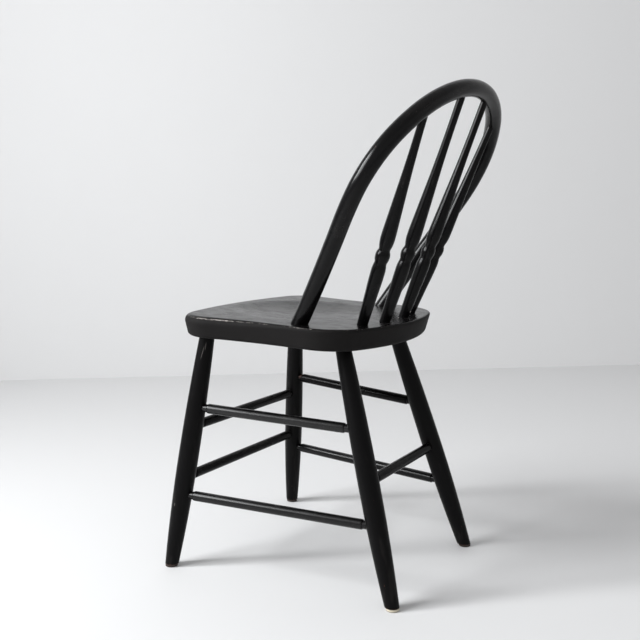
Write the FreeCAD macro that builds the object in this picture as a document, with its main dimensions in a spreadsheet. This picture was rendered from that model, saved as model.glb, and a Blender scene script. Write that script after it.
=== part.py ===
import FreeCAD, Part
import math
import os

import Sketcher
from FreeCAD import Placement, Rotation, Vector

# A black windsor dining chair with a bow back. The sitter faces -Y and +X is the sitter's left.
# The origin is on the floor, under the middle of the chair's overall width and depth.

# Driving sizes in millimetres and degrees
SIZES = {
    # Seat plank
    "seat_height": 447.5,  # top face above the floor, at the seat's own reference point
    "seat_ahead": 116.06,  # the seat's reference point, forward of the origin
    "seat_tilt": 1.43,  # slope of the plank down towards the back
    "seat_thickness": 37.0,
    "seat_front": 129.8,  # from the reference point forward to the front edge
    "seat_front_radius": 870.0,
    "seat_past_bow_foot": 51.1,  # from a foot of the bow sideways to the seat's widest point
    "seat_corner_radius": 63.6,
    "seat_corner_sweep": 91.5,
    "seat_waist_radius": 758.0,
    "seat_waist_sweep": 13.8,
    "seat_ear_radius": 83.3,
    "seat_ear_sweep": 71.2,
    "seat_side_slope": 14.0,  # how far the sides draw in on their way down
    "seat_front_rounding": 11.2,  # of the top edge round the front, down to the next along the sides
    "seat_back_rounding": 4.7,
    "seat_bottom_rounding": 8.0,
    "dish_centre": 30.0,  # the hollow's middle, behind the reference point
    "dish_radius": 138.0,
    "dish_depth": 8.0,
    "dish_lip_radius": 200.0,
    # Legs
    "leg_foot_radius": 11.2,
    "leg_belly_radius": 17.7,
    "leg_belly_height": 195.0,  # along the leg, from the floor
    "leg_top_radius": 13.0,
    "leg_tenon_end_radius": 11.0,
    "leg_tenon_length": 26.0,
    "leg_foot_rounding": 0.8,
    "leg_foot_spare": 6.0,  # turned beyond the floor and sawn off level
    "front_foot_half_width": 201.2,
    "front_foot_forward": 120.0,
    "front_socket_half_width": 146.0,
    "front_socket_forward": 76.6,
    "rear_foot_half_width": 156.8,
    "rear_foot_back": 292.2,
    "rear_socket_half_width": 100.5,
    "rear_socket_back": 166.9,
    # Stretchers, at the height where each axis meets the leg's axis
    "side_upper_front_height": 283.3,
    "side_upper_rear_height": 273.0,
    "side_lower_front_height": 128.5,
    "side_lower_rear_height": 124.3,
    "front_upper_height": 249.6,
    "front_lower_height": 158.7,
    "rear_height": 192.2,
    "stretcher_radius": 8.6,
    "stretcher_tenon_radius": 7.0,
    "stretcher_neck_length": 3.0,
    "stretcher_shoulder_gap": 5.4,  # bare tenon between the leg and the neck
    "stretcher_tenon_past_axis": 5.0,
    # Bow, in its own leaning plane
    "bow_radius": 13.7,
    "bow_foot_half_width": 152.9,
    "bow_foot_back": 114.2,
    "bow_lean": 32.1,  # from upright towards the back
    "bow_foot_splay": 12.0,
    "bow_flare_radius": 2110.0,
    "bow_flare_sweep": 5.5,
    "bow_side_radius": 335.2,
    "bow_side_sweep": 8.9,
    "bow_bend_radius": 143.1,
    "bow_bend_sweep": 43.1,
    "bow_shoulder_radius": 205.2,
    "bow_shoulder_sweep": 29.6,
    "bow_tenon_end_radius": 11.2,
    "wedge_length": 32.0,  # before it is sawn off level with the seat
    "wedge_depth": 20.0,  # how far it goes up into the seat
    "wedge_inset": 1.7,  # each edge of the wedge, inside the tenon's end
    "wedge_thickness": 4.0,
    "wedge_tip_thickness": 0.8,
    # Spindles
    "outer_spindle_base": 92.7,
    "outer_spindle_back": 197.8,
    "outer_spindle_top": 143.6,
    "inner_spindle_base": 37.3,
    "inner_spindle_back": 211.4,
    "inner_spindle_top": 50.1,
    "spindle_tenon_length": 22.0,
    "spindle_tenon_end_radius": 7.5,
    "spindle_base_radius": 8.9,
    "lower_taper_radius": 10.7,
    "lower_taper_height": 62.0,
    "lower_swell_radius": 11.6,
    "lower_swell_height": 96.0,
    "lower_neck_radius": 10.0,
    "lower_neck_start": 110.0,
    "lower_neck_end": 113.5,
    "ball_radius": 11.9,
    "ball_height": 123.5,
    "upper_neck_radius": 9.3,
    "upper_neck_start": 133.5,
    "upper_neck_end": 136.5,
    "upper_swell_radius": 11.7,
    "upper_swell_height": 153.5,
    "shaft_start_radius": 11.2,
    "shaft_start_height": 173.0,
    "shaft_hollow_radius": 8.2,
    "shaft_hollow_height": 245.0,
    "spindle_top_radius": 5.9,
    "shaft_end_height": 355.0,
    "spindle_top_past_axis": 4.0,
    # Glides under the feet
    "glide_radius": 10.8,
    "glide_thickness": 4.5,
    "glide_edge_bevel": 0.8,
    "glide_nail_radius": 1.3,
    "glide_nail_length": 14.0,
    # Fits
    "joint_clearance": 0.1,
    "socket_bottom_gap": 1.0,
    "mouth_margin": 8.0,  # how far a bored hole's tool reaches out past its mouth
}

doc = FreeCAD.newDocument("windsor_chair")
sheet = doc.addObject("Spreadsheet::Sheet", "sizes")
sheet_names = []

X_AXIS = Vector(1, 0, 0)
Z_AXIS = Vector(0, 0, 1)
FULL_TURN = 360.0
# Length of the straight that sets the bow's direction at its foot
GUIDE_LENGTH = 8.0
# How far the hollow's tool stands above the seat
DISH_TOOL_HEIGHT = 8.0
# Keeps the rim of the seat's hollow from only touching the top face
RIM_OVERLAP = 0.12

sub_parts = {}


def write_size(name, value):
    """Gives the sheet one more named number."""
    sheet_names.append(name)
    row = len(sheet_names)
    sheet.set(f"A{row}", name)
    sheet.set(f"B{row}", str(value))
    sheet.setAlias(f"B{row}", name)
    sheet.recompute()


def size(name):
    """A named number, read back from the sheet."""
    return float(sheet.get(name))


def cell(expression):
    """A size or a sum of sizes, written as the document's own expression."""
    words = expression.split()
    return " ".join(f"sizes.{word}" if word in sheet_names else word for word in words)


def amount(expression):
    """The present value of a sum of sizes."""
    return float(sheet.evalExpression(cell(expression)))


def finish(name, thing):
    """Names a finished sub-part."""
    thing.Label = name
    sub_parts[name] = thing


def origin_plane(body, role):
    """One of a body's own origin planes."""
    for feature in body.Origin.OriginFeatures:
        if feature.Role == role:
            return feature
    raise RuntimeError(f"{body.Name} has no {role}")


def add_sketch(body, name, role):
    """An empty sketch on one of the body's origin planes."""
    sketch = body.newObject("Sketcher::SketchObject", name)
    sketch.AttachmentSupport = [(origin_plane(body, role), "")]
    sketch.MapMode = "FlatFace"
    return sketch


def bind(sketch, constraint, expression):
    """Adds a sketch constraint whose value follows the sheet."""
    index = sketch.addConstraint(constraint)
    sketch.setExpression(f"Constraints[{index}]", cell(expression))


def place_vertex(sketch, geometry, point, across, up):
    """Holds a sketch point at a radius and a height that follow the sheet."""
    if across == "0":
        sketch.addConstraint(Sketcher.Constraint("PointOnObject", geometry, point, -2))
    else:
        bind(sketch, Sketcher.Constraint("DistanceX", -1, 1, geometry, point, amount(across)), across)
    if up == "0":
        sketch.addConstraint(Sketcher.Constraint("PointOnObject", geometry, point, -1))
    else:
        bind(sketch, Sketcher.Constraint("DistanceY", -1, 1, geometry, point, amount(up)), up)


def crest_arc(crest, other):
    """The arc from a crest, where it runs along the turning axis, to another profile point."""
    rise = other.y - crest.y
    step = crest.x - other.x
    radius = (rise**2 + step**2) / (2 * step)
    centre = Vector(crest.x - radius, crest.y, 0)
    halfway = (crest - centre) + (other - centre)
    return Part.Arc(crest, centre + halfway.normalize() * abs(radius), other)


def turned_body(name, outline):
    """A turned piece about the body's Z axis.

    The outline runs up from the axis and back to it. Each station holds a radius, a height and how
    the line goes on: "line", "from crest" (an arc along the axis here) or "to crest" (an arc along
    the axis at the next station).
    """
    body = doc.addObject("PartDesign::Body", name)
    sketch = add_sketch(body, name + "_outline", "XZ_Plane")
    points = [Vector(amount(across), amount(up), 0) for across, up, join in outline]
    count = len(outline)
    ends = []
    for index, (across, up, join) in enumerate(outline):
        following = (index + 1) % count
        start, end = points[index], points[following]
        first, last = 1, 2
        if join == "line":
            sketch.addGeometry(Part.LineSegment(start, end))
        else:
            crest, other = (start, end) if join == "from crest" else (end, start)
            sketch.addGeometry(crest_arc(crest, other))
            # A sketch keeps every arc counter-clockwise, so a hollow one starts at its far end
            if crest.x < other.x:
                first, last = 2, 1
        ends.append((first, last))
    for index, (across, up, join) in enumerate(outline):
        following = (index + 1) % count
        first, last = ends[index]
        sketch.addConstraint(Sketcher.Constraint("Coincident", index, last, following, ends[following][0]))
        place_vertex(sketch, index, first, across, up)
        if join != "line":
            crest_up = up if join == "from crest" else outline[following][1]
            height = Sketcher.Constraint("DistanceY", -1, 1, index, 3, amount(crest_up))
            bind(sketch, height, crest_up)
    turning = body.newObject("PartDesign::Revolution", name + "_turning")
    turning.Profile = sketch
    turning.ReferenceAxis = (sketch, ["V_Axis"])
    turning.Angle = FULL_TURN
    return body


def aim(thing, start, end):
    """Stands a thing made along Z at one point, pointing to another."""
    thing.Placement = Placement(start, Rotation(Z_AXIS, end - start))


def cylinder(name, radius, length):
    """A bound cylinder, standing on the origin."""
    thing = doc.addObject("Part::Cylinder", name)
    thing.setExpression("Radius", cell(radius))
    thing.setExpression("Height", cell(length))
    return thing


def cone(name, start_radius, end_radius, length):
    """A bound cone, standing on the origin."""
    thing = doc.addObject("Part::Cone", name)
    thing.setExpression("Radius1", cell(start_radius))
    thing.setExpression("Radius2", cell(end_radius))
    thing.setExpression("Height", cell(length))
    return thing


def fuse(name, things):
    """Several shapes as one."""
    result = doc.addObject("Part::MultiFuse", name)
    result.Shapes = things
    return result


def cut(name, base, tool):
    """A shape with another taken out of it."""
    result = doc.addObject("Part::Cut", name)
    result.Base = base
    result.Tool = tool
    return result


def toward(start, end, distance):
    """The point this far from start on the line to end; a negative distance lies behind start."""
    return start + (end - start).normalize() * distance


class TangentChain:
    """A line of arcs and straights that run on smoothly from one to the next, in a sketch's plane."""

    def __init__(self, sketch, start, heading):
        self.sketch = sketch
        self.point = start
        self.heading = math.radians(heading)
        self.joints = []
        self.arcs = []

    def add(self, geometry, first, last):
        """Puts the next piece in the sketch, tangent to the one before."""
        index = self.sketch.addGeometry(geometry)
        self.joints.append((index, first, last))
        if len(self.joints) > 1:
            before, _, end_before = self.joints[-2]
            self.sketch.addConstraint(Sketcher.Constraint("Tangent", before, end_before, index, first))
        return index

    def turn(self, radius, sweep):
        """An arc to the left, or to the right where the sweep is negative, left unbound."""
        side = math.copysign(1, sweep)
        centre = self.point + side * radius * Vector(-math.sin(self.heading), math.cos(self.heading), 0)
        middle, final = self.heading + math.radians(sweep) / 2, self.heading + math.radians(sweep)

        def on_arc(heading):
            return centre + side * radius * Vector(math.sin(heading), -math.cos(heading), 0)

        arc = Part.Arc(self.point, on_arc(middle), on_arc(final))
        first, last = (1, 2) if side > 0 else (2, 1)
        self.arcs.append((self.point, on_arc(final), centre, radius))
        self.point, self.heading = on_arc(final), final
        return self.add(arc, first, last)

    def bound_turn(self, radius, sweep, side=1):
        """An arc whose radius and sweep follow the sheet."""
        index = self.turn(amount(radius), side * amount(sweep))
        bind(self.sketch, Sketcher.Constraint("Radius", index, amount(radius)), radius)
        sweep_of_arc = Sketcher.Constraint("Angle", index, math.radians(amount(sweep)))
        bind(self.sketch, sweep_of_arc, sweep)
        return index


def seat_frame():
    """The seat plank's place: origin in its top face, sloping down to the back."""
    slope = Rotation(X_AXIS, -size("seat_tilt"))
    return Placement(Vector(0, -size("seat_ahead"), size("seat_height")), slope)


def on_seat(across, back, below=0.0):
    """A point of the seat's top face, or this far below it."""
    return seat_frame().multVec(Vector(across, back, -below))


def flat_edges(shape, height):
    """Names of the edges that lie at one height."""
    names = []
    for number, edge in enumerate(shape.Edges, 1):
        box = edge.BoundBox
        if abs(box.ZMin - height) < 1e-4 and abs(box.ZMax - height) < 1e-4:
            names.append(f"Edge{number}")
    return names


def seat_outline(body):
    """The shield outline of the seat's top face: eight arcs, the same on both sides."""
    sketch = add_sketch(body, "seat_outline", "XY_Plane")
    front_radius, corner_radius = size("seat_front_radius"), size("seat_corner_radius")
    corner_centre = "bow_foot_half_width + seat_past_bow_foot - seat_corner_radius"
    swing = math.asin(amount(corner_centre) / (front_radius - corner_radius))
    half_front = math.degrees(swing)
    start = Vector(
        -front_radius * math.sin(swing),
        -size("seat_front") + front_radius * (1 - math.cos(swing)),
        0,
    )
    chain = TangentChain(sketch, start, -half_front)
    front = chain.turn(front_radius, 2 * half_front)
    corner = chain.bound_turn("seat_corner_radius", "seat_corner_sweep")
    waist = chain.bound_turn("seat_waist_radius", "seat_waist_sweep", -1)
    ear = chain.bound_turn("seat_ear_radius", "seat_ear_sweep")
    back_radius = chain.point.x / math.sin(chain.heading)
    back_sweep = 2 * (180 - math.degrees(chain.heading))
    chain.turn(back_radius, back_sweep)
    other_ear = chain.turn(size("seat_ear_radius"), size("seat_ear_sweep"))
    other_waist = chain.turn(size("seat_waist_radius"), -size("seat_waist_sweep"))
    other_corner = chain.turn(size("seat_corner_radius"), size("seat_corner_sweep"))
    sketch.addConstraint(Sketcher.Constraint("Coincident", other_corner, 2, front, 1))
    for one, other in ((corner, other_corner), (waist, other_waist), (ear, other_ear)):
        sketch.addConstraint(Sketcher.Constraint("Equal", one, other))
    bind(sketch, Sketcher.Constraint("Radius", front, front_radius), "seat_front_radius")
    width = Sketcher.Constraint("DistanceX", -1, 1, corner, 3, amount(corner_centre))
    bind(sketch, width, corner_centre)
    sketch.addConstraint(Sketcher.Constraint("PointOnObject", front, 3, -2))
    front_edge = "seat_front_radius - seat_front"
    height = Sketcher.Constraint("DistanceY", -1, 1, front, 3, amount(front_edge))
    bind(sketch, height, front_edge)
    return sketch


def dish_outline(body):
    """Half of the hollow's section: a wide bowl that turns over a soft lip into the flat rim."""
    sketch = add_sketch(body, "dish_outline", "YZ_Plane")
    centre, reach = size("dish_centre"), size("dish_radius")
    rise = size("dish_depth") + RIM_OVERLAP
    turn = 2 * math.atan2(rise, reach)
    bowl_radius = reach / math.sin(turn) - size("dish_lip_radius")
    bottom = Vector(centre, -size("dish_depth"), 0)
    between = bottom + bowl_radius * Vector(math.sin(turn), 1 - math.cos(turn), 0)
    rim = Vector(centre + reach, RIM_OVERLAP, 0)
    above = Vector(0, DISH_TOOL_HEIGHT, 0)
    bowl_middle = bottom + bowl_radius * Vector(math.sin(turn / 2), 1 - math.cos(turn / 2), 0)
    lip_radius = size("dish_lip_radius")
    lip_middle = rim - lip_radius * Vector(math.sin(turn / 2), 1 - math.cos(turn / 2), 0)
    top = Vector(centre, rim.y, 0) + above
    bowl = sketch.addGeometry(Part.Arc(bottom, bowl_middle, between))
    lip = sketch.addGeometry(Part.Arc(between, lip_middle, rim))
    side = sketch.addGeometry(Part.LineSegment(rim, rim + above))
    lid = sketch.addGeometry(Part.LineSegment(rim + above, top))
    axis = sketch.addGeometry(Part.LineSegment(top, bottom))
    # The bowl runs counter-clockwise and the lip clockwise
    sketch.addConstraint(Sketcher.Constraint("Coincident", axis, 2, bowl, 1))
    sketch.addConstraint(Sketcher.Constraint("Tangent", bowl, 2, lip, 2))
    sketch.addConstraint(Sketcher.Constraint("Coincident", lip, 1, side, 1))
    sketch.addConstraint(Sketcher.Constraint("Coincident", side, 2, lid, 1))
    sketch.addConstraint(Sketcher.Constraint("Coincident", lid, 2, axis, 1))
    sketch.addConstraint(Sketcher.Constraint("Vertical", axis))
    sketch.addConstraint(Sketcher.Constraint("Vertical", side))
    sketch.addConstraint(Sketcher.Constraint("Horizontal", lid))
    sketch.addConstraint(Sketcher.Constraint("PointOnObject", bowl, 3, axis))
    bind(sketch, Sketcher.Constraint("DistanceX", -1, 1, bowl, 1, centre), "dish_centre")
    bind(sketch, Sketcher.Constraint("DistanceY", bowl, 1, -1, 1, -bottom.y), "dish_depth")
    bind(sketch, Sketcher.Constraint("DistanceX", bowl, 1, lip, 1, reach), "dish_radius")
    bind(sketch, Sketcher.Constraint("Radius", lip, lip_radius), "dish_lip_radius")
    sketch.addConstraint(Sketcher.Constraint("DistanceY", -1, 1, side, 1, rim.y))
    sketch.addConstraint(Sketcher.Constraint("DistanceY", side, 1, side, 2, above.y))
    sketch.addConstraint(Sketcher.Constraint("DistanceX", lip, 3, side, 1, 0))
    return sketch, axis


def seat_plank():
    """The shaped plank before its sockets are bored."""
    body = doc.addObject("PartDesign::Body", "seat_plank")
    pad = body.newObject("PartDesign::Pad", "seat_pad")
    body.Tip = pad
    pad.Profile = seat_outline(body)
    pad.Reversed = True
    pad.setExpression("Length", cell("seat_thickness"))
    pad.setExpression("TaperAngle", "-" + cell("seat_side_slope"))
    doc.recompute()
    bottom_edges = body.newObject("PartDesign::Fillet", "seat_bottom_rounding")
    bottom_edges.Base = (pad, flat_edges(pad.Shape, -size("seat_thickness")))
    bottom_edges.setExpression("Radius", cell("seat_bottom_rounding"))
    doc.recompute()
    sketch, axis = dish_outline(body)
    groove = body.newObject("PartDesign::Groove", "seat_dish")
    groove.Profile = sketch
    groove.ReferenceAxis = (sketch, [f"Edge{axis + 1}"])
    groove.Angle = FULL_TURN
    doc.recompute()
    if groove.Shape.Volume >= bottom_edges.Shape.Volume:
        raise RuntimeError("the seat's hollow took nothing away")
    body.Placement = seat_frame()
    return top_rounding(body)


def top_rounding(body):
    """Rounds the plank's top edge: widely round the front, then less and less along the sides."""
    doc.recompute()
    inward = seat_frame().inverse()

    def radius_at(end):
        """The rounding's radius at one end of an edge."""
        return size("seat_front_rounding" if end.y < size("bow_foot_back") else "seat_back_rounding")

    radii = []
    for number, edge in enumerate(body.Shape.Edges, 1):
        ends = [inward.multVec(vertex.Point) for vertex in edge.Vertexes]
        if len(ends) == 2 and all(abs(end.z) < 1e-4 for end in ends):
            radii.append((number, radius_at(ends[0]), radius_at(ends[1])))
    rounding = doc.addObject("Part::Fillet", "seat_top_rounding")
    rounding.Base = body
    rounding.Edges = radii
    doc.recompute()
    if rounding.Shape.Volume >= body.Shape.Volume:
        raise RuntimeError("the seat's top edge stayed sharp")
    return rounding


def leg_axis(end, side):
    """Floor point and socket mouth of one leg's axis; side is 1 on the sitter's left."""
    direction = -1 if end == "front" else 1
    reach = "forward" if end == "front" else "back"
    back = direction * size(f"{end}_foot_{reach}") - size("seat_ahead")
    foot = Vector(side * size(f"{end}_foot_half_width"), back, 0)
    mouth = on_seat(
        side * size(f"{end}_socket_half_width"),
        direction * size(f"{end}_socket_{reach}"),
        size("seat_thickness"),
    )
    return foot, mouth


def leg_point(end, side, height):
    """The point of a leg's axis at a height above the floor."""
    foot, mouth = leg_axis(end, side)
    return foot + (mouth - foot) * (height / mouth.z)


def turned_leg(end, side, name):
    """A leg that swells in the middle and tapers into its tenon, still too long at the foot."""
    foot, mouth = leg_axis(end, side)
    top = f"{end}_leg_length + leg_foot_spare"
    tenon_end = f"{top} + leg_tenon_length"
    body = turned_body(
        name + "_turned",
        [
            ("0", "0", "line"),
            ("leg_foot_radius", "0", "to crest"),
            ("leg_belly_radius", "leg_belly_height + leg_foot_spare", "from crest"),
            ("leg_top_radius", top, "line"),
            ("leg_tenon_end_radius", tenon_end, "line"),
            ("0", tenon_end, "line"),
        ],
    )
    aim(body, toward(foot, mouth, -size("leg_foot_spare")), mouth)
    return body


def leg_socket(end, side, name):
    """The tapered hole in the seat that takes a leg's tenon."""
    foot, mouth = leg_axis(end, side)
    steepness = "( leg_top_radius - leg_tenon_end_radius ) / leg_tenon_length"
    tool = cone(
        name + "_socket",
        f"leg_top_radius + joint_clearance + {steepness} * mouth_margin",
        "leg_tenon_end_radius + joint_clearance",
        "leg_tenon_length + socket_bottom_gap + mouth_margin",
    )
    aim(tool, toward(mouth, foot, size("mouth_margin")), mouth)
    return tool


LEFT, RIGHT = 1, -1
SIDE_NAMES = {LEFT: "left", RIGHT: "right"}
# Each stretcher's two ends: which leg, which side, and the size that gives the height there
STRETCHERS = {
    "stretcher_left_upper": (("front", LEFT, "side_upper_front"), ("rear", LEFT, "side_upper_rear")),
    "stretcher_left_lower": (("front", LEFT, "side_lower_front"), ("rear", LEFT, "side_lower_rear")),
    "stretcher_right_upper": (("front", RIGHT, "side_upper_front"), ("rear", RIGHT, "side_upper_rear")),
    "stretcher_right_lower": (("front", RIGHT, "side_lower_front"), ("rear", RIGHT, "side_lower_rear")),
    "stretcher_front_upper": (("front", LEFT, "front_upper"), ("front", RIGHT, "front_upper")),
    "stretcher_front_lower": (("front", LEFT, "front_lower"), ("front", RIGHT, "front_lower")),
    "stretcher_rear": (("rear", LEFT, "rear"), ("rear", RIGHT, "rear")),
}


def stretcher_ends(name):
    """Where a stretcher's axis meets the axes of its two legs, by leg."""
    return {
        (end, side): leg_point(end, side, size(f"{level}_height"))
        for end, side, level in STRETCHERS[name]
    }


def stretcher(name):
    """A round stretcher that narrows to a tenon at both ends."""
    here, there = stretcher_ends(name).values()
    write_size(name + "_span", (there - here).Length)
    shoulder = "stretcher_tenon_past_axis + leg_belly_radius + stretcher_shoulder_gap"
    whole = f"{name}_span + stretcher_tenon_past_axis + stretcher_tenon_past_axis"
    body = turned_body(
        name,
        [
            ("0", "0", "line"),
            ("stretcher_tenon_radius", "0", "line"),
            ("stretcher_tenon_radius", shoulder, "to crest"),
            ("stretcher_radius", f"{shoulder} + stretcher_neck_length", "line"),
            ("stretcher_radius", f"{whole} - ( {shoulder} + stretcher_neck_length )", "from crest"),
            ("stretcher_tenon_radius", f"{whole} - ( {shoulder} )", "line"),
            ("stretcher_tenon_radius", whole, "line"),
            ("0", whole, "line"),
        ],
    )
    aim(body, toward(here, there, -size("stretcher_tenon_past_axis")), there)
    return body


def stretcher_hole(name, end, side):
    """The blind hole that one stretcher needs in one leg."""
    ends = stretcher_ends(name)
    here = ends.pop((end, side))
    (there,) = ends.values()
    tool = cylinder(
        f"{name}_hole_{end}_{SIDE_NAMES[side]}",
        "stretcher_tenon_radius + joint_clearance",
        "stretcher_tenon_past_axis + socket_bottom_gap + leg_belly_radius + mouth_margin",
    )
    bottom = toward(here, there, -amount("stretcher_tenon_past_axis + socket_bottom_gap"))
    aim(tool, bottom, there)
    return tool


def glide(name, end, side):
    """A thin moulded disc with its nail, under a foot."""
    body = turned_body(
        name,
        [
            ("0", "0", "line"),
            ("glide_radius - glide_edge_bevel", "0", "line"),
            ("glide_radius", "glide_edge_bevel", "line"),
            ("glide_radius", "glide_thickness", "line"),
            ("glide_nail_radius", "glide_thickness", "line"),
            ("glide_nail_radius", "glide_thickness + glide_nail_length", "line"),
            ("0", "glide_thickness + glide_nail_length", "line"),
        ],
    )
    body.Placement = Placement(leg_point(end, side, 0.0), Rotation())
    return body


def leg(name, end, side):
    """A finished leg: sawn level at the foot, bored for its stretchers and its glide."""
    joined = [each for each in STRETCHERS if (end, side) in stretcher_ends(each)]
    tools = [stretcher_hole(each, end, side) for each in joined]
    foot = leg_point(end, side, 0.0)
    nail_hole = cylinder(
        name + "_nail_hole",
        "glide_nail_radius + joint_clearance",
        "glide_thickness + glide_nail_length + socket_bottom_gap",
    )
    nail_hole.Placement = Placement(foot, Rotation())
    below_floor = doc.addObject("Part::Box", name + "_foot_saw")
    reach = "leg_belly_radius + leg_belly_radius"
    below_floor.setExpression("Length", cell(reach))
    below_floor.setExpression("Width", cell(reach))
    below_floor.setExpression("Height", cell("leg_foot_spare + leg_foot_spare + glide_thickness"))
    corner = Vector(-amount(reach) / 2, -amount(reach) / 2, -2 * size("leg_foot_spare"))
    below_floor.Placement = Placement(foot + corner, Rotation())
    tools += [nail_hole, below_floor]
    cut_leg = cut(name + "_bored", turned_leg(end, side, name), fuse(name + "_tools", tools))
    doc.recompute()
    rounded = doc.addObject("Part::Fillet", name)
    rounded.Base = cut_leg
    level = size("glide_thickness")
    rims = [
        index
        for index, edge in enumerate(cut_leg.Shape.Edges, 1)
        if abs(edge.BoundBox.ZMax - level) < 1e-3
        and abs(edge.BoundBox.ZMin - level) < 1e-3
        and edge.BoundBox.XLength > amount("glide_nail_radius * 3")
    ]
    if not rims:
        raise RuntimeError(f"{name} has no rim to round")
    rounding = size("leg_foot_rounding")
    rounded.Edges = [(index, rounding, rounding) for index in rims]
    return rounded


def bow_frame():
    """The bow's leaning plane: origin between its feet, local Z up the slope."""
    return Placement(on_seat(0, size("bow_foot_back")), Rotation(X_AXIS, -size("bow_lean")))


def bow_path(body):
    """Half of the bow's centre line, from the sitter's left foot to the top, and its arcs."""
    sketch = add_sketch(body, "bow_path", "XZ_Plane")
    splay = math.radians(size("bow_foot_splay"))
    foot = Vector(size("bow_foot_half_width"), 0, 0)
    stub = GUIDE_LENGTH * Vector(math.sin(splay), math.cos(splay), 0)
    chain = TangentChain(sketch, foot, 90 - size("bow_foot_splay"))
    guide = chain.add(Part.LineSegment(foot - stub, foot), 1, 2)
    sketch.toggleConstruction(guide)
    sketch.addConstraint(Sketcher.Constraint("Distance", guide, GUIDE_LENGTH))
    upright = "90 - bow_foot_splay"
    bind(sketch, Sketcher.Constraint("Angle", guide, math.radians(amount(upright))), upright)
    bind(sketch, Sketcher.Constraint("DistanceX", -1, 1, guide, 2, foot.x), "bow_foot_half_width")
    sketch.addConstraint(Sketcher.Constraint("PointOnObject", guide, 2, -1))
    chain.bound_turn("bow_flare_radius", "bow_flare_sweep", -1)
    chain.bound_turn("bow_side_radius", "bow_side_sweep")
    chain.bound_turn("bow_bend_radius", "bow_bend_sweep")
    chain.bound_turn("bow_shoulder_radius", "bow_shoulder_sweep")
    top_radius = chain.point.x / math.sin(chain.heading)
    top = chain.turn(top_radius, 180 - math.degrees(chain.heading))
    sketch.addConstraint(Sketcher.Constraint("PointOnObject", top, 3, -2))
    sketch.addConstraint(Sketcher.Constraint("PointOnObject", top, 2, -2))
    return sketch, chain


def bow_point(arcs, across):
    """The point of the bow's upper centre line at a distance from the middle, in the room."""
    for start, end, centre, radius in reversed(arcs):
        if abs(across) <= start.x:
            up = centre.y + math.sqrt(radius**2 - (abs(across) - centre.x) ** 2)
            return bow_frame().multVec(Vector(across, 0, up))
    raise RuntimeError("a spindle's top lies outside the bow")


def bow_rod():
    """The bent rod without its tenons, and the arcs of its centre line."""
    body = doc.addObject("PartDesign::Body", "bow_rod")
    path, chain = bow_path(body)
    section = add_sketch(body, "bow_section", "YZ_Plane")
    write_size("bow_rise", chain.point.y)
    section.addGeometry(Part.Circle(Vector(0, chain.point.y, 0), Z_AXIS, size("bow_radius")))
    bind(section, Sketcher.Constraint("Radius", 0, size("bow_radius")), "bow_radius")
    section.addConstraint(Sketcher.Constraint("PointOnObject", 0, 3, -2))
    bind(section, Sketcher.Constraint("DistanceY", -1, 1, 0, 3, chain.point.y), "bow_rise")
    doc.recompute()
    half = body.newObject("PartDesign::AdditivePipe", "bow_half")
    half.Profile = section
    half.Spine = (path, [f"Edge{index}" for index in range(1, len(chain.arcs) + 1)])
    doc.recompute()
    whole = body.newObject("PartDesign::Mirrored", "bow_halves")
    whole.Originals = [half]
    whole.MirrorPlane = (origin_plane(body, "YZ_Plane"), [""])
    body.Tip = whole
    body.Placement = bow_frame()
    return body, chain.arcs


def bow_foot(side):
    """Where the bow's axis enters the seat's top, and where it leaves the underside."""
    frame = bow_frame()
    splay = math.radians(size("bow_foot_splay"))
    entry = frame.multVec(Vector(side * size("bow_foot_half_width"), 0, 0))
    down = frame.Rotation.multVec(Vector(-side * math.sin(splay), 0, -math.cos(splay)))
    through = size("seat_thickness") / -down.dot(seat_frame().Rotation.multVec(Z_AXIS))
    return entry, entry + down * through


def bow_tenon(side):
    """The tapered end of the bow that goes right through the seat."""
    entry, exit_point = bow_foot(side)
    tenon = cone(
        f"bow_tenon_{SIDE_NAMES[side]}",
        "bow_radius",
        "bow_tenon_end_radius",
        "bow_through_length + mouth_margin",
    )
    aim(tenon, entry, exit_point)
    return tenon


def bow_socket(side):
    """The hole that the bow's end needs in the seat, as wide as the rod at its mouth."""
    entry, exit_point = bow_foot(side)
    taper = cone(
        f"bow_socket_{SIDE_NAMES[side]}",
        "bow_radius + joint_clearance",
        "bow_tenon_end_radius + joint_clearance",
        "bow_through_length + mouth_margin",
    )
    aim(taper, entry, exit_point)
    mouth = cylinder(
        f"bow_mouth_{SIDE_NAMES[side]}",
        "bow_radius + joint_clearance",
        "bow_radius + joint_clearance",
    )
    aim(mouth, toward(entry, exit_point, -amount("bow_radius + joint_clearance")), entry)
    return [taper, mouth]


def wedge_blank(side):
    """The wedge that spreads the bow's end, before it is sawn off level."""
    entry, exit_point = bow_foot(side)
    wedge = doc.addObject("Part::Wedge", f"bow_wedge_{SIDE_NAMES[side]}_blank")
    wedge.setExpression("Xmin", cell("wedge_thickness * -0.5"))
    wedge.setExpression("Xmax", cell("wedge_thickness * 0.5"))
    wedge.setExpression("X2min", cell("wedge_tip_thickness * -0.5"))
    wedge.setExpression("X2max", cell("wedge_tip_thickness * 0.5"))
    wedge.setExpression("Ymin", "0")
    wedge.setExpression("Ymax", cell("wedge_length"))
    for low, high in (("Zmin", "Zmax"), ("Z2min", "Z2max")):
        wedge.setExpression(low, cell("wedge_inset - bow_tenon_end_radius"))
        wedge.setExpression(high, cell("bow_tenon_end_radius - wedge_inset"))
    up = entry - exit_point
    tail = toward(exit_point, entry, size("wedge_depth") - size("wedge_length"))
    wedge.Placement = Placement(tail, Rotation(Vector(0, 1, 0), up))
    return wedge


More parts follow.
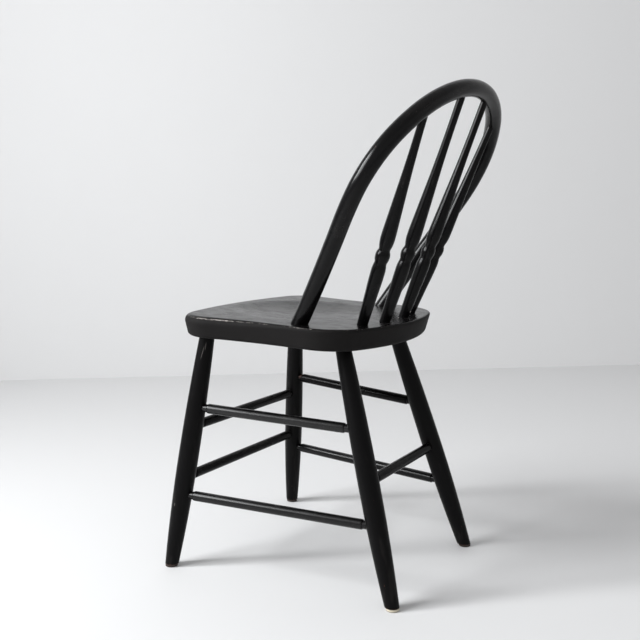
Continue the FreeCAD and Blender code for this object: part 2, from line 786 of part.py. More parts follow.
def underside_saw(name):
    """Everything just below the seat, to saw off what sticks out there."""
    saw = doc.addObject("Part::Box", name)
    for side_length in ("Length", "Width"):
        saw.setExpression(side_length, cell("bow_foot_half_width * 4"))
    saw.setExpression("Height", cell("wedge_length * 2"))
    half = 2 * size("bow_foot_half_width")
    corner = Vector(-half, -half, -size("seat_thickness") - 2 * size("wedge_length"))
    frame = seat_frame()
    saw.Placement = Placement(frame.multVec(corner), frame.Rotation)
    return saw


SPINDLES = {
    "spindle_left_outer": ("outer", LEFT),
    "spindle_left_inner": ("inner", LEFT),
    "spindle_right_inner": ("inner", RIGHT),
    "spindle_right_outer": ("outer", RIGHT),
}


def spindle_axis(name, arcs):
    """A spindle's foot in the seat's top and its end on the bow's centre line."""
    place, side = SPINDLES[name]
    foot = on_seat(side * size(f"{place}_spindle_base"), size(f"{place}_spindle_back"))
    return foot, bow_point(arcs, side * size(f"{place}_spindle_top"))


def spindle(name, arcs):
    """A turned spindle: a long swell, a ball between two necks, and a shaft that thins to the bow."""
    foot, top = spindle_axis(name, arcs)
    write_size(name + "_length", (top - foot).Length)
    end = f"spindle_tenon_length + {name}_length + spindle_top_past_axis"
    body = turned_body(
        name,
        [
            ("0", "0", "line"),
            ("spindle_tenon_end_radius", "0", "line"),
            ("spindle_base_radius", "spindle_tenon_length", "line"),
            ("lower_taper_radius", "spindle_tenon_length + lower_taper_height", "to crest"),
            ("lower_swell_radius", "spindle_tenon_length + lower_swell_height", "from crest"),
            ("lower_neck_radius", "spindle_tenon_length + lower_neck_start", "line"),
            ("lower_neck_radius", "spindle_tenon_length + lower_neck_end", "to crest"),
            ("ball_radius", "spindle_tenon_length + ball_height", "from crest"),
            ("upper_neck_radius", "spindle_tenon_length + upper_neck_start", "line"),
            ("upper_neck_radius", "spindle_tenon_length + upper_neck_end", "to crest"),
            ("upper_swell_radius", "spindle_tenon_length + upper_swell_height", "from crest"),
            ("shaft_start_radius", "spindle_tenon_length + shaft_start_height", "line"),
            ("shaft_hollow_radius", "spindle_tenon_length + shaft_hollow_height", "to crest"),
            ("spindle_top_radius", "spindle_tenon_length + shaft_end_height", "line"),
            ("spindle_top_radius", end, "line"),
            ("0", end, "line"),
        ],
    )
    aim(body, toward(foot, top, -size("spindle_tenon_length")), top)
    return body


def spindle_socket(name, arcs):
    """The tapered hole in the seat under a spindle."""
    foot, top = spindle_axis(name, arcs)
    steepness = "( spindle_base_radius - spindle_tenon_end_radius ) / spindle_tenon_length"
    tool = cone(
        name + "_socket",
        "spindle_tenon_end_radius + joint_clearance",
        f"spindle_base_radius + joint_clearance + {steepness} * mouth_margin",
        "spindle_tenon_length + socket_bottom_gap + mouth_margin",
    )
    aim(tool, toward(foot, top, -amount("spindle_tenon_length + socket_bottom_gap")), top)
    return tool


def spindle_hole(name, arcs):
    """The blind hole in the bow over a spindle."""
    foot, top = spindle_axis(name, arcs)
    tool = cylinder(
        name + "_hole",
        "spindle_top_radius + joint_clearance",
        "spindle_top_past_axis + socket_bottom_gap + bow_radius + mouth_margin",
    )
    aim(tool, toward(top, foot, -amount("spindle_top_past_axis + socket_bottom_gap")), foot)
    return tool


def main():
    """Builds every sub-part in its place."""
    for name, value in SIZES.items():
        write_size(name, value)
    legs = {
        f"leg_{end}_{SIDE_NAMES[side]}": (end, side)
        for end in ("front", "rear")
        for side in (LEFT, RIGHT)
    }
    for end in ("front", "rear"):
        foot, mouth = leg_axis(end, LEFT)
        write_size(f"{end}_leg_length", (mouth - foot).Length)
    for name, (end, side) in legs.items():
        finish(name, leg(name, end, side))
        finish(f"glide_{end}_{SIDE_NAMES[side]}", glide(f"glide_{end}_{SIDE_NAMES[side]}", end, side))
    for name in STRETCHERS:
        finish(name, stretcher(name))

    rod, arcs = bow_rod()
    entry, exit_point = bow_foot(LEFT)
    write_size("bow_through_length", (exit_point - entry).Length)
    for name in SPINDLES:
        finish(name, spindle(name, arcs))
    wedges = {side: wedge_blank(side) for side in (LEFT, RIGHT)}
    whole_bow = fuse("bow_blank", [rod, bow_tenon(LEFT), bow_tenon(RIGHT)])
    holes = [spindle_hole(name, arcs) for name in SPINDLES]
    bow_tools = fuse("bow_tools", holes + list(wedges.values()) + [underside_saw("bow_saw")])
    finish("bow", cut("bow", whole_bow, bow_tools))
    for side, blank in wedges.items():
        name = f"bow_wedge_{SIDE_NAMES[side]}"
        finish(name, cut(name, blank, underside_saw(name + "_saw")))

    sockets = [leg_socket(end, side, name) for name, (end, side) in legs.items()]
    sockets += [spindle_socket(name, arcs) for name in SPINDLES]
    sockets += bow_socket(LEFT) + bow_socket(RIGHT)
    finish("seat", cut("seat", seat_plank(), fuse("seat_tools", sockets)))


def check_and_write():
    """Stops on anything that failed, then writes one file for each sub-part."""
    doc.recompute()
    for thing in doc.Objects:
        if "Invalid" in thing.State or "Error" in thing.State:
            raise RuntimeError(f"{thing.Label} failed")
    for name, thing in sub_parts.items():
        shape = thing.Shape
        if shape.isNull() or not shape.isValid() or len(shape.Solids) != 1:
            raise RuntimeError(f"{name} has no single valid solid")
    os.makedirs("parts", exist_ok=True)
    for name, thing in sub_parts.items():
        thing.Shape.exportStep(f"parts/{name}.step")
        print(name, round(thing.Shape.Volume))


main()
check_and_write()
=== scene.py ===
"""Finishes of a black painted windsor chair, put on its packed construction, with a plain stage."""

import math

import bpy
from bpy.props import FloatProperty, FloatVectorProperty, PointerProperty
from mathutils import Matrix, Vector

bl_info = {
    "name": "Windsor chair finishes",
    "version": (1, 0, 0),
    "blender": (4, 5, 0),
    "location": "View3D > Sidebar > Chair",
    "description": "Worn black paint on a turned windsor chair, its glides and a pale stage",
    "category": "Object",
}

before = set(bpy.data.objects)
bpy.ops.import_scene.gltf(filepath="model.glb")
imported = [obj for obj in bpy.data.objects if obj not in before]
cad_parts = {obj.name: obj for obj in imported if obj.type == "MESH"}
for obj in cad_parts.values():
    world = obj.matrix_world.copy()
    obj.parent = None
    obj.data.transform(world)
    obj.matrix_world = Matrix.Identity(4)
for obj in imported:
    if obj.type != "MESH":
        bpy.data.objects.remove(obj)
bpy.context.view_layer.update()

SIDES = ("left", "right")
ENDS = ("front", "rear")
SPINDLES = [f"spindle_{side}_{place}" for side in SIDES for place in ("outer", "inner")]
LEGS = [f"leg_{end}_{side}" for end in ENDS for side in SIDES]
GLIDES = [f"glide_{end}_{side}" for end in ENDS for side in SIDES]
SIDE_STRETCHERS = [f"stretcher_{side}_{level}" for side in SIDES for level in ("upper", "lower")]
CROSS_STRETCHERS = ["stretcher_front_upper", "stretcher_front_lower", "stretcher_rear"]
WEDGES = [f"bow_wedge_{side}" for side in SIDES]
PALE_GLIDE = "glide_rear_left"

# The bow's own plane: where it starts on the seat and which way it leans. Its straight feet end at
# the middle of its bend, whose radius is the last number.
BOW_FOOT = Vector((0, -0.0019, 0.4475))
BOW_LEAN = math.radians(32.1)
BOW_BEND_HEIGHT = 0.25
BOW_BEND_RADIUS = 0.19

# Where the small marks are: a speck on the seat, one on a spindle's foot, a nick in the bow and a
# bare spot on a stretcher.
SEAT_SPECK = (-0.022, 0.093, 0.4423)
SPINDLE_SPECK = (-0.0372, 0.1088, 0.4522)
BOW_NICK = (0.2212, 0.1655, 0.7195)
BARE_SPOT = (-0.1575, -0.1885, 0.2865)

# Scratches on one leg: place, direction (None is down the leg), length and width.
SCRATCHED_LEG = "leg_front_left"
SCRATCHES = (
    ((0.1634, -0.1918, 0.3813), Vector((0.0052, -0.0049, -0.0242)), 0.024, 0.0015),
    ((0.1600, -0.1877, 0.3917), None, 0.016, 0.0013),
    ((0.2026, -0.2264, 0.1138), None, 0.006, 0.0026),
)
SCRATCH_STRENGTH = 0.13

# How strongly the stretchers shine, as a share of the paint's own shine. Those that catch the
# window's light are smoother and shine more.
RAIL_SHINE = {
    "stretcher_left_upper": 4.2,
    "stretcher_left_lower": 3.3,
    "stretcher_right_lower": 2.0,
}
OTHER_RAIL_SHINE = 0.8

# The photograph's view, seen from above: to its left, towards the camera and towards the wall.
VIEW_LEFT = Vector((0.503, -0.864, 0))
VIEW_BACK = Vector((0.864, 0.503, 0))
TOWARD_WALL = Vector((-0.769, -0.639, 0))

# The narrow light beside the window, which gives the turnings their sharp highlights.
STRIP_PLACE = VIEW_LEFT * 2.3 + VIEW_BACK * 0.38 + Vector((0, 0, 1.88))
STRIP_AIM = Vector((0, 0, 0.6))
STRIP_SIZE = (0.36, 1.25)
STRIP_SPREAD = 1.7
LAMP_COLOUR = (0.97, 0.985, 1.0)

# The camera, at the photograph's viewing angle.
CAMERA_PLACE = Vector((1.37125, 0.74555, 0.64245))
CAMERA_FORWARD = Vector((-0.85672, -0.49840, -0.13275))
CAMERA_RIGHT = Vector((-0.50367, 0.86387, 0.00720))
CAMERA_LENS = 49.97
CAMERA_SENSOR = 36

# The stage's own paint.
STAGE_ROUGHNESS = 0.60
STAGE_SHINE = 0.2


def colour_setting(name, description, value):
    """A colour that a user may change."""
    return FloatVectorProperty(
        name=name, description=description, subtype="COLOR", min=0.0, max=1.0, default=value
    )


def share_setting(name, description, value):
    """A number from 0 to 1 that a user may change."""
    return FloatProperty(name=name, description=description, min=0.0, max=1.0, default=value)


def length_setting(name, description, value):
    """A length in metres that a user may change."""
    return FloatProperty(name=name, description=description, unit="LENGTH", default=value)


class PaintSettings(bpy.types.PropertyGroup):
    """The old black paint and what shows where it has gone."""

    paint: colour_setting("Paint", "Colour of the black paint", (0.0030, 0.0028, 0.0030))
    # The rubbed colour is wear, and on the seat's sides it is also a painted sheen.
    rubbed: colour_setting(
        "Rubbed paint", "Colour of the paint thinned by handling", (0.0108, 0.0098, 0.0096)
    )
    undercoat: colour_setting(
        "Undercoat", "Pale undercoat that shows in the seat's chips", (0.56, 0.53, 0.50)
    )
    bare_wood: colour_setting(
        "Bare wood", "Old brown wood at the worn joints and feet", (0.135, 0.060, 0.036)
    )
    pale_glide: colour_setting("Pale glide", "Colour of the newer glide", (0.62, 0.56, 0.44))
    dark_glide: colour_setting("Dark glide", "Colour of the old glides", (0.030, 0.017, 0.012))
    sheen: share_setting("Shine", "Strength of the paint's reflections", 0.10)
    seat_roughness: share_setting("Seat roughness", "Roughness of the seat's polished top", 0.20)
    side_roughness: share_setting("Side roughness", "Roughness of the seat's sides", 0.62)
    turned_roughness: share_setting("Turning roughness", "Roughness of the spindles' paint", 0.21)
    rail_roughness: share_setting("Stretcher roughness", "Roughness of the stretchers' paint", 0.25)
    leg_roughness: share_setting("Leg roughness", "Roughness of the legs' paint", 0.32)
    bow_roughness: share_setting("Bow roughness", "Roughness of the bow's paint", 0.20)


class StageSettings(bpy.types.PropertyGroup):
    """The pale floor and wall, the light around them, the window and the narrow light."""

    floor: colour_setting("Floor", "Colour of the floor", (0.76, 0.76, 0.76))
    wall: colour_setting("Wall", "Colour of the wall behind the chair", (0.82, 0.82, 0.82))
    horizon: colour_setting("Horizon", "Colour of what lies beyond the floor", (0.62, 0.62, 0.625))
    overhead: colour_setting("Overhead", "Colour of the light from above", (0.43, 0.43, 0.435))
    floor_reach: length_setting("Floor reach", "From the middle of the floor to its edge", 8.0)
    wall_distance: length_setting("Wall distance", "From the chair's middle to the wall", 1.724)
    wall_reach: length_setting("Wall reach", "From the middle of the wall to its ends", 7.5)
    wall_height: length_setting("Wall height", "Height of the wall", 4.0)
    window_distance: length_setting("Window distance", "From the chair to the window", 2.4)
    window_width: length_setting("Window width", "Width of the window", 1.5)
    window_height: length_setting("Window height", "Height of the window", 1.5)
    window_shift: length_setting("Window place", "From beside the chair towards the camera", 1.0)
    window_middle: length_setting("Window middle", "Height of the window's middle", 1.95)
    window_power: FloatProperty(
        name="Window light", description="Power of the window", unit="POWER", default=111.0
    )
    strip_power: FloatProperty(
        name="Strip light",
        description="Power of the narrow light beside the window",
        unit="POWER",
        default=11.0,
    )


class Wire:
    """A node's output that takes part in shader maths, so that a mask reads as a sum."""

    def __init__(self, nodes, output):
        self.nodes = nodes
        self.output = output

    def maths(self, operation, *values):
        return self.nodes.node("ShaderNodeMath", {"operation": operation}, *values)

    def __add__(self, other):
        return self.maths("ADD", self, other)

    def __sub__(self, other):
        return self.maths("SUBTRACT", self, other)

    def __rsub__(self, other):
        return self.maths("SUBTRACT", other, self)

    def __mul__(self, other):
        return self.maths("MULTIPLY", self, other)

    __radd__ = __add__
    __rmul__ = __mul__

    def __abs__(self):
        return self.maths("ABSOLUTE", self)

    def __or__(self, other):
        return self.maths("MAXIMUM", self, other)

    __ror__ = __or__


class Nodes:
    """A node tree in the making."""

    def __init__(self, tree):
        tree.nodes.clear()
        self.tree = tree

    def put(self, socket, value):
        """Links a wire to a socket, or sets the socket's own value."""
        if isinstance(value, Wire):
            self.tree.links.new(value.output, socket)
        else:
            socket.default_value = value

    def node(self, kind, settings, *values, output=0, **sockets):
        """Adds any node: its settings first, then its sockets by order or by name."""
        made = self.tree.nodes.new(kind)
        for setting, value in settings.items():
            setattr(made, setting, value)
        for index, value in enumerate(values):
            if value is not None:
                self.put(made.inputs[index], value)
        for name, value in sockets.items():
            self.put(made.inputs[name.replace("_", " ")], value)
        return Wire(self, made.outputs[output]) if made.outputs else None

    def parts(self, vector):
        """The three numbers of a point or a direction."""
        across = self.node("ShaderNodeSeparateXYZ", {}, vector)
        return [Wire(self, output) for output in across.output.node.outputs]

    def joined(self, *numbers):
        """A point from three numbers."""
        return self.node("ShaderNodeCombineXYZ", {}, *numbers)

    def smooth(self, value, low, high):
        """Rises softly from 0 at low to 1 at high, or falls where high is the lower."""
        settings = {"interpolation_type": "SMOOTHSTEP"}
        if low > high:
            return self.node("ShaderNodeMapRange", settings, value, high, low, 1.0, 0.0)
        return self.node("ShaderNodeMapRange", settings, value, low, high)

    def between(self, value, low, high, fade):
        """1 from low to high, with a soft fade at both ends."""
        return self.smooth(value, low - fade, low) * self.smooth(value, high + fade, high)

    def blend(self, mask, below, above):
        """One colour over another where the mask is 1."""
        made = self.tree.nodes.new("ShaderNodeMix")
        made.data_type = "RGBA"
        for index, value in ((0, mask), (6, below), (7, above)):
            self.put(made.inputs[index], value)
        return Wire(self, made.outputs[2])


class Finish(Nodes):
    """One material in the making, with the patterns that old paint needs."""

    def __init__(self, name):
        self.material = bpy.data.materials.new(name)
        self.material.use_nodes = True
        super().__init__(self.material.node_tree)
        self.shader = self.tree.nodes.new("ShaderNodeBsdfPrincipled")
        surface = self.tree.nodes.new("ShaderNodeOutputMaterial")
        self.tree.links.new(self.shader.outputs[0], surface.inputs["Surface"])
        self.point = self.node("ShaderNodeTexCoord", {}, output="Object")

    def stretched(self, point, factors):
        """Points drawn out or squeezed along their own axes."""
        return self.node("ShaderNodeVectorMath", {"operation": "MULTIPLY"}, point, factors)

    def placed(self, start, turn):
        """Points with their origin and axes at a piece's own."""
        settings = {"vector_type": "TEXTURE"}
        return self.node("ShaderNodeMapping", settings, self.point, tuple(start), tuple(turn))

    def turned(self, start, along):
        """Points with their origin at the start of a piece and Z along it."""
        return self.placed(start, along.to_track_quat("Z", "Y").to_euler())

    def noise(self, point, scale, detail=3.0, roughness=0.5):
        """Soft noise from 0 to 1; the scale is in turns for each metre."""
        sockets = {"Vector": point, "Scale": scale, "Detail": detail, "Roughness": roughness}
        return self.node("ShaderNodeTexNoise", {}, **sockets)

    def near(self, point, centre, core, edge):
        """1 within the core's distance of a place, falling to 0 at the edge's."""
        settings = {"operation": "DISTANCE"}
        distance = self.node("ShaderNodeVectorMath", settings, point, tuple(centre), output="Value")
        return self.smooth(distance, edge, core)

    def mark(self, place, along, length, width):
        """A fine mark on the surface: 1 inside it, as long and wide as given."""
        local = self.stretched(self.turned(place, along), (1 / width, 1 / width, 1 / length))
        return self.near(local, (0, 0, 0), 0.35, 0.6)

    def coat(self, node_name):
        """Puts the finish on a piece of the construction."""
        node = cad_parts[node_name]
        node.data.materials.clear()
        node.data.materials.append(self.material)


def opaque(colour):
    """A colour setting as a socket's four numbers."""
    return (*colour, 1.0)


def old_paint(finish, grain, roughness, rubbed=None, chips=None, bare=None, pores=0.35, shine=1.0):
    """Brushed black paint over wood. The masks say where it is rubbed, chipped or worn away."""
    settings = bpy.context.scene.chair_paint
    brush = finish.noise(finish.stretched(grain, (1, 1, 0.04)), 850.0, detail=2.0)
    streaks = finish.noise(finish.stretched(grain, (1, 1, 0.07)), 190.0, detail=3.0)
    sags = finish.noise(grain, 55.0, detail=3.0)
    dust = finish.noise(finish.point, 24.0, detail=5.0, roughness=0.65)
    specks = finish.smooth(finish.noise(finish.point, 330.0, detail=1.0), 0.72, 0.80)
    colour = opaque(settings.paint)
    gloss = roughness - 0.07 + dust * 0.10 + streaks * 0.06 + specks * 0.18
    height = brush * 0.22 + streaks * pores + sags * 0.8 + specks * 0.5
    # The rubbed mask is wear; on the seat it also holds a painted sheen on the sides.
    if rubbed is not None:
        colour = finish.blend(rubbed, colour, opaque(settings.rubbed))
        gloss = gloss + rubbed * 0.10
    if bare is not None:
        tinge = finish.noise(finish.stretched(grain, (1, 1, 0.1)), 420.0, detail=4.0)
        wood = finish.blend(tinge, opaque(settings.rubbed), opaque(settings.bare_wood))
        colour = finish.blend(bare, colour, wood)
        gloss = gloss + bare * 0.30
        height = height - bare * 0.8
    if chips is not None:
        tinge = finish.noise(finish.point, 500.0, detail=2.0)
        pale = finish.blend(tinge, opaque(settings.bare_wood), opaque(settings.undercoat))
        colour = finish.blend(chips, colour, finish.blend(0.75, pale, opaque(settings.undercoat)))
        gloss = gloss + chips * 0.35
        height = height - chips * 1.2
    bump = finish.node("ShaderNodeBump", {}, Height=height, Distance=0.00010, output="Normal")
    finish.put(finish.shader.inputs["Base Color"], colour)
    finish.put(finish.shader.inputs["Roughness"], gloss)
    finish.put(finish.shader.inputs["Normal"], bump)
    finish.shader.inputs["Specular IOR Level"].default_value = settings.sheen * shine


def piece_ends(name):
    """The lower and the upper end of a straight piece, in the middle of its section."""
    points = [vertex.co.copy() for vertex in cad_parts[name].data.vertices]
    start = max(points, key=lambda point: (point - points[0]).length)
    far = max(points, key=lambda point: (point - start).length)
    along = (far - start).normalized()
    ends = []
    for end in (start, far):
        near = [point for point in points if abs((point - end).dot(along)) < 0.012]
        ends.append(sum(near, Vector()) / len(near))
    return sorted(ends, key=lambda end: end.z)


class ChairOperator:
    """What the chair's operators share."""

    bl_options = {"REGISTER", "UNDO"}


class CHAIR_OT_finish_seat(ChairOperator, bpy.types.Operator):
    """Paint the seat, with chips and wear along its edges"""

    bl_idname = "chair.finish_seat"
    bl_label = "Finish the seat"

    def execute(self, context):
        settings = context.scene.chair_paint
        finish = Finish("seat_paint")
        normal = finish.node("ShaderNodeNewGeometry", {}, output="Normal")
        lift = finish.parts(normal)[2]
        across, ahead, height = finish.parts(finish.point)
        drawn_out = finish.stretched(finish.point, (2, 1, 2))
        along_edge = finish.noise(drawn_out, 230.0, detail=5.0, roughness=0.65)
        rim = finish.between(lift, 0.69, 0.79, 0.05)
        left = finish.smooth(across, 0.05, 0.14)
        worst = finish.between(ahead, -0.178, -0.125, 0.012)
        lesser = finish.between(ahead, -0.12, -0.05, 0.03)
        by_bow = finish.between(ahead, 0.0, 0.036, 0.008)
        patchy = finish.smooth(finish.noise(finish.point, 14.0, detail=1.0), 0.52, 0.68)
        amount = left * (worst * 0.13 + lesser * 0.09 + by_bow * 0.13) + patchy * 0.04
        chips = rim * finish.smooth(along_edge + amount, 0.60, 0.72) * 0.6
        handled = finish.between(lift, 0.15, 0.95, 0.12)
        drawn_out = finish.stretched(finish.point, (1, 0.6, 1))
        worn = finish.noise(drawn_out, 60.0, detail=5.0, roughness=0.6)
        # The seat's sides are rougher, and they also take the rubbed colour as a painted sheen that
        # lightens them all round; the rest of the rubbed mask is real wear on the handled edge.
        side = finish.smooth(lift, 0.90, 0.60)
        rubbed = handled * finish.smooth(worn, 0.42, 0.66) | side * 0.7
        speck = finish.near(finish.point, SEAT_SPECK, 0.0009, 0.0018)
        grain = finish.joined(across, height, ahead)
        dull = settings.side_roughness - settings.seat_roughness
        roughness = side * dull + settings.seat_roughness
        old_paint(finish, grain, roughness, rubbed, chips | speck, pores=0.55, shine=1.2)
        finish.coat("seat")
        return {"FINISHED"}


class CHAIR_OT_finish_bow(ChairOperator, bpy.types.Operator):
    """Paint the bow along its bend, and the wedges in its feet"""

    bl_idname = "chair.finish_bow"
    bl_label = "Finish the bow"

    def execute(self, context):
        settings = context.scene.chair_paint
        finish = Finish("bow_paint")
        rise = Vector((0, math.sin(BOW_LEAN), math.cos(BOW_LEAN)))
        settle = Matrix((Vector((1, 0, 0)), rise, Vector((1, 0, 0)).cross(rise))).transposed()
        across, up, off = finish.parts(finish.placed(BOW_FOOT, settle.to_euler()))
        rest = up - BOW_BEND_HEIGHT
        above = rest | 0.0
        below = rest.maths("MINIMUM", rest, 0.0)
        out = abs(across)
        arm = finish.joined(out, above, 0.0)
        radius = finish.node("ShaderNodeVectorMath", {"operation": "LENGTH"}, arm, output="Value")
        turn = out.maths("ARCTAN2", above, out)
        grain = finish.joined(radius, off, turn * BOW_BEND_RADIUS + below)
        drawn_out = finish.stretched(grain, (1, 1, 0.25))
        handled = finish.noise(drawn_out, 46.0, detail=5.0, roughness=0.6)
        top = finish.smooth(up, 0.30, 0.42)
        rubbed = finish.smooth(handled + top * 0.10, 0.58, 0.72) * 0.55
        nick = finish.near(finish.point, BOW_NICK, 0.0006, 0.0022) * 0.2
        small = finish.noise(finish.stretched(grain, (1, 1, 0.5)), 240.0, detail=2.0)
        bare = nick | finish.smooth(small, 0.80, 0.83)
        old_paint(finish, grain, settings.bow_roughness, rubbed, bare=bare, pores=0.3, shine=1.65)
        finish.coat("bow")
        for name in WEDGES:
            finish = Finish(f"{name}_paint")
            old_paint(finish, finish.point, settings.leg_roughness)
            finish.coat(name)
        return {"FINISHED"}


class CHAIR_OT_finish_spindles(ChairOperator, bpy.types.Operator):
    """Paint the four turned spindles of the back"""

    bl_idname = "chair.finish_spindles"
    bl_label = "Finish the spindles"

    def execute(self, context):
        settings = context.scene.chair_paint
        for name in SPINDLES:
            finish = Finish(f"{name}_paint")
            low, high = piece_ends(name)
            grain = finish.turned(low, high - low)
            worn = finish.noise(finish.stretched(grain, (1, 1, 0.2)), 110.0, detail=4.0)
            rubbed = finish.smooth(worn, 0.60, 0.74) * 0.7
            speck = finish.near(finish.point, SPINDLE_SPECK, 0.0009, 0.0020)
            old_paint(finish, grain, settings.turned_roughness, rubbed, speck, pores=0.2, shine=1.3)
            finish.coat(name)
        return {"FINISHED"}


class CHAIR_OT_finish_legs(ChairOperator, bpy.types.Operator):
    """Paint the four legs, scuffed near the floor and worn at the feet"""

    bl_idname = "chair.finish_legs"
    bl_label = "Finish the legs"

    def execute(self, context):
        settings = context.scene.chair_paint
        for name in LEGS:
            finish = Finish(f"{name}_paint")
            low, high = piece_ends(name)
            grain = finish.turned(low, high - low)
            height = finish.parts(finish.point)[2]
            drawn_out = finish.stretched(grain, (1, 1, 0.18))
            worn = finish.noise(drawn_out, 90.0, detail=5.0, roughness=0.6)
            lower = finish.smooth(height, 0.30, 0.02)
            rubbed = finish.smooth(worn + lower * 0.10, 0.60, 0.76) * 0.8
            scuffs = finish.noise(finish.stretched(grain, (1, 1, 0.35)), 300.0, detail=2.0)
            ragged = finish.noise(grain, 380.0, detail=3.0)
            foot = finish.smooth(height + ragged * 0.010, 0.0115, 0.0075)
            bare = foot | finish.smooth(scuffs + lower * 0.05, 0.80, 0.83)
            chips = None
            if name == SCRATCHED_LEG:
                scratched = 0.0
                for place, along, length, width in SCRATCHES:
                    along = high - low if along is None else along
                    scratched = finish.mark(place, along, length, width) | scratched
                chips = scratched * SCRATCH_STRENGTH
            old_paint(finish, grain, settings.leg_roughness, rubbed, chips, bare, shine=0.85)
            finish.coat(name)
        return {"FINISHED"}


class CHAIR_OT_finish_stretchers(ChairOperator, bpy.types.Operator):
    """Paint the seven stretchers, rubbed on top, with small bare spots and one worn joint"""

    bl_idname = "chair.finish_stretchers"
    bl_label = "Finish the stretchers"

    def execute(self, context):
        settings = context.scene.chair_paint
        for name in [*SIDE_STRETCHERS, *CROSS_STRETCHERS]:
            finish = Finish(f"{name}_paint")
            low, high = piece_ends(name)
            grain = finish.turned(low, high - low)
            lift = finish.parts(finish.node("ShaderNodeNewGeometry", {}, output="Normal"))[2]
            drawn_out = finish.stretched(grain, (1, 1, 0.22))
            worn = finish.noise(drawn_out, 120.0, detail=5.0, roughness=0.6)
            by_feet = 0.16 if name.startswith("stretcher_front") else 0.06
            rubbed = finish.smooth(worn + finish.smooth(lift, 0.2, 0.9) * by_feet, 0.60, 0.74)
            bare = finish.smooth(finish.noise(grain, 260.0, detail=2.0), 0.79, 0.82)
            if name == "stretcher_right_upper":
                bare = bare | finish.near(finish.point, BARE_SPOT, 0.0030, 0.0075) * 0.3
            shine = RAIL_SHINE.get(name, OTHER_RAIL_SHINE)
            old_paint(finish, grain, settings.rail_roughness, rubbed, bare=bare, shine=shine)
            finish.coat(name)
        return {"FINISHED"}


class CHAIR_OT_finish_glides(ChairOperator, bpy.types.Operator):
    """Colour the glides under the feet, one of them newer and pale"""

    bl_idname = "chair.finish_glides"
    bl_label = "Finish the glides"

    def execute(self, context):
        settings = context.scene.chair_paint
        for name in GLIDES:
            finish = Finish(f"{name}_finish")
            main = settings.pale_glide if name == PALE_GLIDE else settings.dark_glide
            dirt = finish.noise(finish.point, 210.0, detail=5.0, roughness=0.65)
            height = finish.parts(finish.point)[2]
            soiled = finish.smooth(dirt + finish.smooth(height, 0.002, 0.0), 0.45, 0.9) * 0.6
            colour = finish.blend(soiled, opaque(main), opaque(settings.rubbed))
            bump = finish.node("ShaderNodeBump", {}, Height=dirt, Distance=0.0002, output="Normal")
            finish.put(finish.shader.inputs["Base Color"], colour)
            finish.put(finish.shader.inputs["Roughness"], 0.38 + dirt * 0.25)
            finish.put(finish.shader.inputs["Normal"], bump)
            finish.coat(name)
        return {"FINISHED"}


def flat_finish(thing, colour):
    """A faintly uneven pale paint for the stage."""
    finish = Finish(f"{thing.name}_paint")
    tone = finish.noise(finish.point, 1.4, detail=4.0)
    shade = tuple(part * 0.985 for part in colour)
    uneven = finish.blend(tone, opaque(shade), opaque(colour))
    finish.put(finish.shader.inputs["Base Color"], uneven)
    finish.put(finish.shader.inputs["Roughness"], tone * 0.1 + STAGE_ROUGHNESS)
    finish.shader.inputs["Specular IOR Level"].default_value = STAGE_SHINE
    thing.data.materials.append(finish.material)


def area_light(name, place, aim, width, height, power, spread=math.pi):
    """A soft rectangular light that lights the stage but isn't itself in the picture."""
    lamp = bpy.data.lights.new(name, "AREA")
    lamp.shape = "RECTANGLE"
    lamp.size = width
    lamp.size_y = height
    lamp.energy = power
    lamp.spread = spread
    lamp.color = LAMP_COLOUR
    light = bpy.data.objects.new(name, lamp)
    bpy.context.scene.collection.objects.link(light)
    turn = (aim - place).to_track_quat("-Z", "Y").to_matrix().to_4x4()
    light.matrix_world = Matrix.Translation(place) @ turn
    light.visible_camera = False


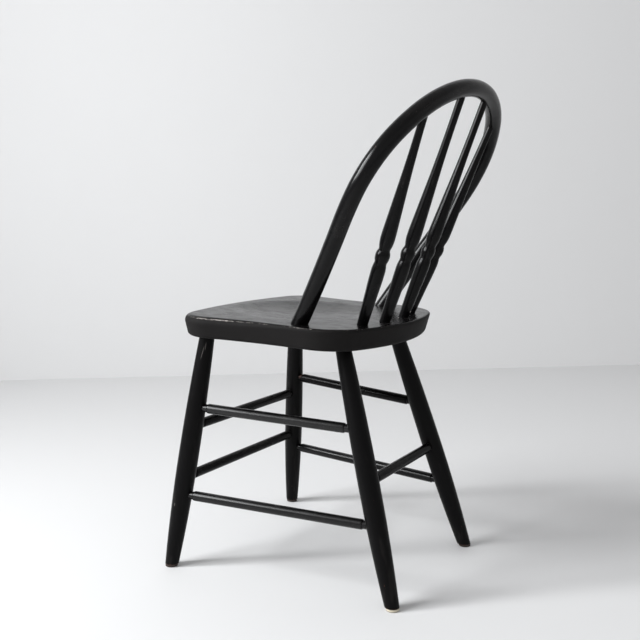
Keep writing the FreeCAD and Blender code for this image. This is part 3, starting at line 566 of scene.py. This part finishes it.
class CHAIR_OT_build_stage(ChairOperator, bpy.types.Operator):
    """Build the pale floor and wall, the soft light and the camera"""

    bl_idname = "chair.build_stage"
    bl_label = "Build the stage"

    def execute(self, context):
        settings = context.scene.chair_stage
        bpy.ops.object.select_all(action="DESELECT")
        reach = settings.floor_reach
        bpy.ops.mesh.primitive_circle_add(vertices=128, radius=reach, fill_type="NGON")
        floor = context.object
        floor.name = "floor"
        flat_finish(floor, settings.floor)
        bpy.ops.object.select_all(action="DESELECT")
        bpy.ops.mesh.primitive_plane_add(size=1)
        wall = context.object
        wall.name = "wall"
        middle = TOWARD_WALL * settings.wall_distance
        along = Vector((0, 0, 1)).cross(TOWARD_WALL) * settings.wall_reach
        top = Vector((0, 0, settings.wall_height))
        corners = (middle - along, middle + along, middle - along + top, middle + along + top)
        for vertex, corner in zip(wall.data.vertices, corners):
            vertex.co = corner
        flat_finish(wall, settings.wall)

        world = bpy.data.worlds.new("even light")
        context.scene.world = world
        world.use_nodes = True
        air = Nodes(world.node_tree)
        lift = air.parts(air.node("ShaderNodeTexCoord", {}, output="Generated"))[2]
        colour = air.blend(
            air.smooth(lift, 0.22, 0.55), opaque(settings.horizon), opaque(settings.overhead)
        )
        light = air.node("ShaderNodeBackground", {}, colour, 1.0)
        air.node("ShaderNodeOutputWorld", {}, light)

        beside = VIEW_LEFT * settings.window_distance + VIEW_BACK * settings.window_shift
        place = beside + Vector((0, 0, settings.window_middle))
        size = (settings.window_width, settings.window_height)
        area_light("window", place, place - VIEW_LEFT, *size, settings.window_power)
        area_light(
            "strip", STRIP_PLACE, STRIP_AIM, *STRIP_SIZE, settings.strip_power, STRIP_SPREAD
        )

        data = bpy.data.cameras.new("camera")
        data.lens = CAMERA_LENS
        data.sensor_width = CAMERA_SENSOR
        camera = bpy.data.objects.new("camera", data)
        context.scene.collection.objects.link(camera)
        up = CAMERA_RIGHT.cross(CAMERA_FORWARD)
        turn = Matrix((CAMERA_RIGHT, up, -CAMERA_FORWARD)).transposed().to_4x4()
        camera.matrix_world = Matrix.Translation(CAMERA_PLACE) @ turn
        context.scene.camera = camera
        context.scene.view_settings.view_transform = "Standard"
        return {"FINISHED"}


OPERATORS = (
    CHAIR_OT_finish_seat,
    CHAIR_OT_finish_bow,
    CHAIR_OT_finish_spindles,
    CHAIR_OT_finish_legs,
    CHAIR_OT_finish_stretchers,
    CHAIR_OT_finish_glides,
    CHAIR_OT_build_stage,
)


class CHAIR_PT_panel(bpy.types.Panel):
    """The chair's panel in the sidebar"""

    bl_idname = "CHAIR_PT_panel"
    bl_label = "Windsor chair"
    bl_space_type = "VIEW_3D"
    bl_region_type = "UI"
    bl_category = "Chair"

    def draw(self, context):
        for operator in OPERATORS:
            self.layout.operator(operator.bl_idname)


CLASSES = (PaintSettings, StageSettings, *OPERATORS, CHAIR_PT_panel)


def register():
    for each in CLASSES:
        bpy.utils.register_class(each)
    bpy.types.Scene.chair_paint = PointerProperty(type=PaintSettings)
    bpy.types.Scene.chair_stage = PointerProperty(type=StageSettings)


def unregister():
    del bpy.types.Scene.chair_stage
    del bpy.types.Scene.chair_paint
    for each in reversed(CLASSES):
        bpy.utils.unregister_class(each)


def main():
    """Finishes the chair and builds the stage."""
    register()
    bpy.ops.chair.finish_seat()
    bpy.ops.chair.finish_bow()
    bpy.ops.chair.finish_spindles()
    bpy.ops.chair.finish_legs()
    bpy.ops.chair.finish_stretchers()
    bpy.ops.chair.finish_glides()
    bpy.ops.chair.build_stage()
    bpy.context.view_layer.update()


if __name__ == "__main__":
    main()
